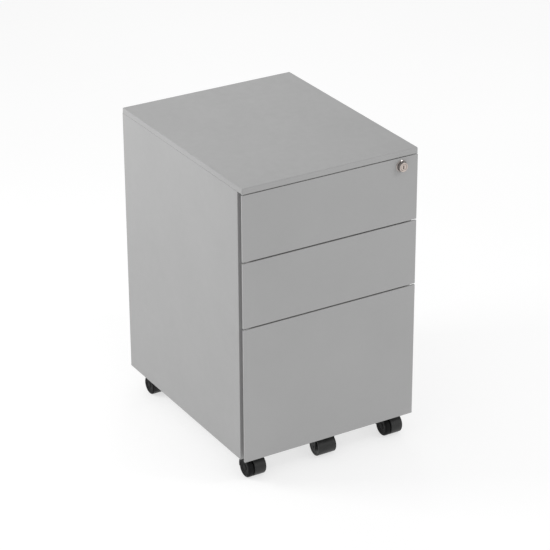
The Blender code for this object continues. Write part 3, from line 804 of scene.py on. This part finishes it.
def mitred(section, low, high):
    """A closed section of (inset, height) points run round a rectangle, mitred at its corners."""
    rings = []
    for inset, height in section:
        rings.append([(low.x + inset, low.y + inset, height), (high.x - inset, low.y + inset, height),
                      (high.x - inset, high.y - inset, height), (low.x + inset, high.y - inset, height)])
    return skin(rings, closed=True)


def tray_hems():
    """The trays' upper edges, rolled inwards. The pin stands out of a tray's right side, so the left
    side gives the width."""
    for drawer in DRAWERS:
        low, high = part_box(f"{drawer}_tray")
        high = Vector((-low.x, high.y, high.z))
        section = [(TRAY_HEM_R + x, high.z - TRAY_HEM_R + z) for x, z in circle(TRAY_HEM_R, 12)]
        make_object(f"{drawer}_rolled_edge", mitred(section, low, high), "powder_coat",
                    drawer, crease=50.0)


def pen_tray():
    """A moulded tray with rounded corners and a rounded upper edge."""
    low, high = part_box("pen_tray")
    middle = (low + high) / 2
    half_x = (high.x - low.x) / 2
    half_y = (high.y - low.y) / 2
    tall = high.z - low.z
    # How far each ring is set in, its height, and its corners' radius: outside, upper edge, inside
    outside = ((0.0016, 0.0, 0.0024), (0.0004, 0.0004, 0.0036), (0.0, 0.0014, 0.0040),
               (0.0, tall - 0.0006, 0.0040))
    edge = ((0.0005, tall, 0.0036), (PEN_WALL - 0.0005, tall, 0.0026))
    inside = ((PEN_WALL, tall - 0.0006, 0.0022), (PEN_WALL, PEN_WALL + 0.0020, 0.0022),
              (PEN_WALL + 0.0006, PEN_WALL + 0.0006, 0.0018), (PEN_WALL + 0.0020, PEN_WALL, 0.0012))
    rings = []
    for inset, height, corner in outside + edge + inside:
        outline = round_rectangle(half_x - inset, half_y - inset, corner, 5)
        rings.append([(middle.x + x, middle.y + y, low.z + height) for x, y in outline])
    obj = make_object("pen_tray_moulding", skin(rings), "black_tray", "top_drawer")
    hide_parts("pen_tray")


# ------------------------------------------------------------------ stage

def add_floor():
    """A pale floor that glows a little, so that it looks nearly white."""
    shape = bmesh.new()
    bmesh.ops.create_grid(shape, x_segments=1, y_segments=1, size=FLOOR_HALF)
    mesh = bpy.data.meshes.new("floor")
    shape.to_mesh(mesh)
    shape.free()
    floor = bpy.data.objects.new("floor", mesh)
    bpy.context.scene.collection.objects.link(floor)
    material, tree, shader, place = new_material("floor_paint", specular=0.1)
    tone = blend_colours(tree, spread(tree, noise(tree, place, 1.5), 0.0, 1.0),
                         (0.40, 0.40, 0.40), (0.41, 0.41, 0.41))
    tree.links.new(tone, shader.inputs["Base Color"])
    shader.inputs["Roughness"].default_value = 0.9
    shader.inputs["Emission Color"].default_value = (1, 1, 1, 1)
    shader.inputs["Emission Strength"].default_value = FLOOR_GLOW
    mesh.materials.append(material)


def add_room():
    """Even white light from all round, and a brighter wall where the camera looks past the floor."""
    world = bpy.data.worlds.new("studio")
    world.use_nodes = True
    tree = world.node_tree
    room = tree.nodes["Background"]
    room.inputs["Color"].default_value = (1, 1, 1, 1)
    room.inputs["Strength"].default_value = ROOM_LIGHT
    wall = add_node(tree, "ShaderNodeBackground", Strength=WALL_BRIGHT)
    wall.inputs["Color"].default_value = (1, 1, 1, 1)
    seen = tree.nodes.new("ShaderNodeLightPath")
    mix = tree.nodes.new("ShaderNodeMixShader")
    tree.links.new(seen.outputs["Is Camera Ray"], mix.inputs["Fac"])
    tree.links.new(room.outputs["Background"], mix.inputs[1])
    tree.links.new(wall.outputs["Background"], mix.inputs[2])
    tree.links.new(mix.outputs["Shader"], tree.nodes["World Output"].inputs["Surface"])
    bpy.context.scene.world = world


def add_light(name, place, aim, side, watts):
    """A square soft light that looks at a point."""
    data = bpy.data.lights.new(name, "AREA")
    data.size = side
    data.energy = watts
    light = bpy.data.objects.new(name, data)
    light.location = place
    light.rotation_euler = (Vector(place) - Vector(aim)).to_track_quat("Z", "Y").to_euler()
    bpy.context.scene.collection.objects.link(light)


def add_camera():
    """The camera, on its line of sight through AIM and shifted so that AIM is off the middle."""
    back = Vector((math.sin(AZIMUTH) * math.cos(ELEVATION), -math.cos(AZIMUTH) * math.cos(ELEVATION),
                   math.sin(ELEVATION)))
    level = Z_AXIS.cross(back).normalized()
    raised = back.cross(level)
    right = level * math.cos(ROLL) + raised * math.sin(ROLL)
    up = raised * math.cos(ROLL) - level * math.sin(ROLL)
    place = AIM - AIM_OFFSET[0] * right - AIM_OFFSET[1] * up + DISTANCE * back
    data = bpy.data.cameras.new("camera")
    data.lens = LENS
    data.sensor_width = SENSOR
    camera = bpy.data.objects.new("camera", data)
    camera.matrix_world = Matrix.Translation(place) @ Matrix((right, up, back)).transposed().to_4x4()
    bpy.context.scene.collection.objects.link(camera)
    bpy.context.scene.camera = camera


add_camera()
add_floor()
add_room()
add_light("left_key", (-1.15, 0.55, 1.15), aim=(-0.19, 0, 0.52), side=0.6, watts=8.2)
add_light("right_key", (1.35, -1.45, 2.0), aim=(0.1, -0.1, 0.45), side=0.6, watts=8.6)
add_light("front_fill", (1.6, -3.4, 1.6), aim=(0, 0, 0.40), side=1.6, watts=11)
add_light("rear_rim", (1.2, 2.1, 1.7), aim=(0.15, 0, 0.6), side=0.5, watts=3)
finish_nodes()
castor_wheels()
roller()
for castor_name in CASTORS:
    housing(castor_name)
lock_barrel()
lock_plug()
rosette()
top_hem()
slide_fixings()
slide_balls()
castor_screws()
spot_welds()
tray_hems()
pen_tray()
bpy.context.scene.view_settings.view_transform = "Standard"
